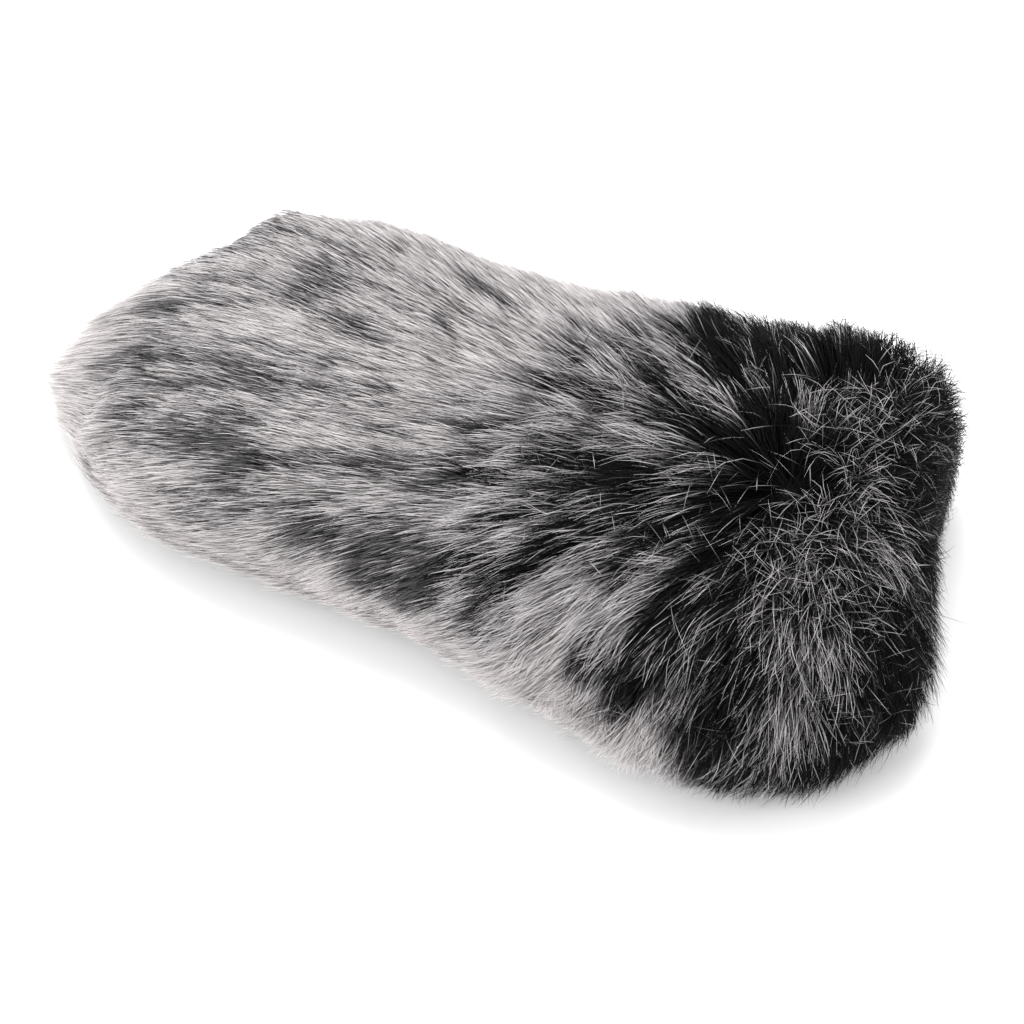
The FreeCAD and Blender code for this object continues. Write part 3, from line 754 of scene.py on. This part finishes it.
# ---- cloth ------------------------------------------------------------------------------------------
def woven_material(name, dark, light, scale, roughness):
    """Two crossed sets of threads, with the relief of the weave."""
    material, tree, shader = new_material(name)
    coordinates = tree.nodes.new("ShaderNodeTexCoord")
    height = None
    for direction in ("X", "Y", "Z"):
        threads = tree.nodes.new("ShaderNodeTexWave")
        threads.bands_direction = direction
        threads.inputs["Scale"].default_value = scale
        threads.inputs["Distortion"].default_value = 0.6
        threads.inputs["Detail"].default_value = 1.0
        tree.links.new(coordinates.outputs["Object"], threads.inputs["Vector"])
        if height is None:
            height = threads.outputs["Fac"]
        else:
            join = tree.nodes.new("ShaderNodeMath")
            join.operation = "MULTIPLY"
            tree.links.new(height, join.inputs[0])
            tree.links.new(threads.outputs["Fac"], join.inputs[1])
            height = join.outputs["Value"]
    colour = ramp(tree, [(0.0, dark), (0.5, light)], height)
    bump = tree.nodes.new("ShaderNodeBump")
    bump.inputs["Strength"].default_value = 0.5
    bump.inputs["Distance"].default_value = 0.25 * MM
    tree.links.new(height, bump.inputs["Height"])
    tree.links.new(bump.outputs["Normal"], shader.inputs["Normal"])
    tree.links.new(colour, shader.inputs["Base Color"])
    shader.inputs["Roughness"].default_value = roughness
    shader.inputs["Specular IOR Level"].default_value = 0.2
    shader.inputs["Sheen Weight"].default_value = 0.15
    return material


def grained_material(name, dark, light, scale, roughness, metallic=0.0, stretch=(1.0, 1.0, 1.0)):
    """Fine uneven grain, for moulded plastic, thread and drawn wire."""
    material, tree, shader = new_material(name)
    coordinates = tree.nodes.new("ShaderNodeTexCoord")
    mapping = tree.nodes.new("ShaderNodeMapping")
    mapping.inputs["Scale"].default_value = stretch
    tree.links.new(coordinates.outputs["Object"], mapping.inputs["Vector"])
    noise = tree.nodes.new("ShaderNodeTexNoise")
    noise.inputs["Scale"].default_value = scale
    noise.inputs["Detail"].default_value = 5.0
    tree.links.new(mapping.outputs["Vector"], noise.inputs["Vector"])
    colour = ramp(tree, [(0.3, dark), (0.7, light)], noise.outputs["Fac"])
    polished = (roughness - 0.08,) * 3
    matt = (roughness + 0.08,) * 3
    rough = ramp(tree, [(0.3, polished), (0.7, matt)], noise.outputs["Fac"])
    bump = tree.nodes.new("ShaderNodeBump")
    bump.inputs["Strength"].default_value = 0.25
    bump.inputs["Distance"].default_value = 0.05 * MM
    tree.links.new(noise.outputs["Fac"], bump.inputs["Height"])
    tree.links.new(bump.outputs["Normal"], shader.inputs["Normal"])
    tree.links.new(colour, shader.inputs["Base Color"])
    tree.links.new(rough, shader.inputs["Roughness"])
    shader.inputs["Metallic"].default_value = metallic
    return material


def shell(name, node, outer, thickness, material, keep_columns=None):
    """Closed cloth sheet between an outer grid and the same grid moved inwards by thickness."""
    points, normals = outer
    rows, columns = points.shape[:2]
    inner = points - normals * thickness[:, :, None]
    faces = sheet_faces(rows, columns, keep_columns)
    flipped = faces[:, ::-1] + rows * columns
    grid = np.arange(rows * columns).reshape(rows, columns)
    used = np.arange(columns)
    ends = []
    if keep_columns is not None:
        strips = np.flatnonzero(keep_columns[:-1])
        used = np.append(strips, strips[-1] + 1)
        ends = [grid[:, used[0]], grid[:, used[-1]][::-1]]
    ends += [grid[0, used][::-1], grid[-1, used]]
    walls = []
    for line in ends:
        below = line + rows * columns
        walls.append(np.stack([line[:-1], line[1:], below[1:], below[:-1]], axis=1))
    vertices = np.concatenate([points.reshape(-1, 3), inner.reshape(-1, 3)])
    faces = np.concatenate([faces, flipped] + walls)
    welded = np.round(vertices, 6)
    _, first, place = np.unique(welded, axis=0, return_index=True, return_inverse=True)
    faces = place.reshape(-1)[faces]
    keep = np.unique(faces)
    number = np.full(len(first), -1)
    number[keep] = np.arange(len(keep))
    piece = mesh_object(name, vertices[first[keep]], number[faces], material)
    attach(piece, "cover")
    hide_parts(node)
    return piece


def backing(tube, cap, upper_columns):
    """Knitted backing of the two panels and the cap, gathered in soft folds towards the mouth."""
    knit = woven_material("knitted_backing", (0.010, 0.010, 0.011), (0.060, 0.060, 0.064), 260.0, 0.85)
    around = np.arange(tube.points.shape[1]) / (tube.points.shape[1] - 1)
    near_mouth = smooth(-tube.points[:, :, 0] / MM, 60, 128)
    turn = 2 * np.pi * around
    folds = 0.5 + 0.5 * np.sin(GATHER_FOLDS * turn + 2.0 * np.sin(3 * turn))[None, :]
    casing = smooth(-tube.points[:, :, 0] / MM, 124, 127)
    thickness = KNIT_THICKNESS + 1.1 * MM * folds * near_mouth * (1 - casing)
    outer = (tube.points, tube.normals)
    upper = shell("upper_backing_knit", "upper_panel_backing", outer, thickness, knit,
                  upper_columns)
    lower = shell("lower_backing_knit", "lower_panel_backing", outer, thickness, knit,
                  ~upper_columns)
    cap_thickness = np.full(cap.points.shape[:2], KNIT_THICKNESS)
    front = shell("cap_backing_knit", "front_cap_backing", (cap.points, cap.normals), cap_thickness,
                  knit)


def hem_casing(tube):
    """Folded casing round the mouth, puckered where the drawcord gathers it."""
    columns = 480
    sides = 24
    low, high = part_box("hem_casing")
    xs = tube.points[:, 0, 0]
    j = np.arange(columns) * (tube.points.shape[1] - 1) / columns
    round_turn = 2 * np.pi * j / j.max()
    pucker = 0.5 + 0.5 * np.sin(HEM_PUCKERS * round_turn + 3.0 * np.sin(5 * round_turn))
    rings = []
    for k in range(sides):
        turn = 2 * math.pi * k / sides
        across = bulged(math.cos(turn), 0.5)
        deep = bulged(math.sin(turn), 0.5)
        x = (low[0] + high[0]) / 2 + across * (high[0] - low[0]) / 2 * 0.98
        i = np.full(columns, np.interp(x, xs, np.arange(len(xs))))
        points, normals = tube.surface_at(i, j)
        depth = HEM_DEPTH + deep * HEM_HALF_HEIGHT - pucker * 0.7 * MM * max(deep, 0.0)
        points = points - normals * depth[:, None]
        points[:, 0] -= pucker * 0.5 * MM * across
        rings.append(points)
    grid = np.stack(rings)
    faces = []
    for k in range(sides):
        a = k * columns + np.arange(columns)
        b = ((k + 1) % sides) * columns + np.arange(columns)
        faces.append(np.stack([a, np.roll(a, -1), np.roll(b, -1), b], axis=1))
    tape = woven_material("woven_casing", (0.003, 0.003, 0.004), (0.035, 0.035, 0.037), 420.0, 0.8)
    piece = mesh_object("gathered_hem", grid.reshape(-1, 3), np.concatenate(faces), tape)
    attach(piece, "cover")
    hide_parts("hem_casing")
    return piece


def label():
    """Blank satin label that lies slightly curled on the lower panel."""
    low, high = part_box("inner_label")
    rows, columns = 26, 38
    points = np.zeros((rows, columns, 3))
    for i in range(rows):
        for j in range(columns):
            u = 2 * i / (rows - 1) - 1
            v = 2 * j / (columns - 1) - 1
            curl = 0.35 * MM * abs(v) ** 3 + 0.12 * MM * math.sin(3 * v + 2 * u)
            points[i, j] = ((low[0] + high[0]) / 2 + u * (high[0] - low[0]) / 2,
                            (low[1] + high[1]) / 2 + v * (high[1] - low[1]) / 2,
                            high[2] - 0.1 * MM + curl)
    normals = np.zeros_like(points)
    normals[:, :, 2] = 1.0
    satin = woven_material("label_satin", (0.40, 0.39, 0.37), (0.66, 0.65, 0.62), 700.0, 0.45)
    thickness = np.full((rows, columns), LABEL_THICKNESS)
    piece = shell("blank_label", "inner_label", (points, normals), thickness, satin,
                  np.ones(columns, bool))


def trim_materials():
    """Materials of the CAD nodes that stay."""
    tape = woven_material("woven_tape", (0.003, 0.003, 0.004), (0.035, 0.035, 0.037), 420.0, 0.8)
    thread = grained_material("twisted_thread", (0.07, 0.07, 0.073), (0.17, 0.17, 0.175), 5000.0, 0.6)
    braid = woven_material("braided_cord", (0.004, 0.004, 0.005), (0.060, 0.060, 0.063), 640.0, 0.6)
    plastic = grained_material("black_moulding", (0.012, 0.012, 0.013), (0.020, 0.020, 0.021),
                               3500.0, 0.45)
    steel = grained_material("spring_wire", (0.45, 0.45, 0.46), (0.62, 0.62, 0.63), 2500.0, 0.32,
                             metallic=1.0, stretch=(1, 1, 6))
    wear = {
        "left_seam_tape": tape, "right_seam_tape": tape, "cap_seam_binding": tape,
        "left_seam_stitches": thread, "right_seam_stitches": thread, "cap_seam_stitches": thread,
        "hem_stitches": thread, "label_stitches": thread, "drawcord": braid,
        "drawcord_eyelets": plastic, "drawcord_end_stopper": plastic, "cord_lock_body": plastic,
        "cord_lock_plunger": plastic, "cord_lock_spring": steel,
    }
    for node, material in wear.items():
        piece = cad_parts[node]
        for material_slot in piece.material_slots:
            material_slot.material = material


def plain_colours():
    """Colours come out as they are lit, with no film curve."""
    bpy.context.scene.view_settings.view_transform = "Standard"


def add_floor():
    """White ground that the cover lies on."""
    mesh = bpy.data.meshes.new("floor")
    half = 12.0
    mesh.from_pydata([(-half, -half, 0), (half, -half, 0), (half, half, 0), (-half, half, 0)],
                     [], [(0, 1, 2, 3)])
    material, _, shader = new_material("floor")
    shader.inputs["Base Color"].default_value = (0.9, 0.9, 0.9, 1)
    shader.inputs["Roughness"].default_value = 0.8
    mesh.materials.append(material)
    floor = bpy.data.objects.new("floor", mesh)
    bpy.context.collection.objects.link(floor)


plain_colours()
add_camera()
add_light()
add_floor()
rng = np.random.default_rng(SEED)
tube = tube_skin()
cap = cap_skin()
fur = fur_material()
under = undercoat_material()
columns = tube.points.shape[1]
upper_columns = np.arange(columns) < (columns - 1) // 2
undercoat("upper_undercoat", "upper_panel_pile", tube, under, upper_columns)
undercoat("lower_undercoat", "lower_panel_pile", tube, under, ~upper_columns)
undercoat("cap_undercoat", "front_cap_pile", cap, under)
face = outer_face(tube, cap)
grow("upper_fur", "upper_panel_pile", tube, STRANDS_UPPER, rng, fur, face, upper_columns)
grow("lower_fur", "lower_panel_pile", tube, STRANDS_LOWER, rng, fur, face, ~upper_columns)
grow("cap_fur", "front_cap_pile", cap, STRANDS_CAP, rng, fur, face)
hem = hem_casing(tube)
backing(tube, cap, upper_columns)
label()
trim_materials()
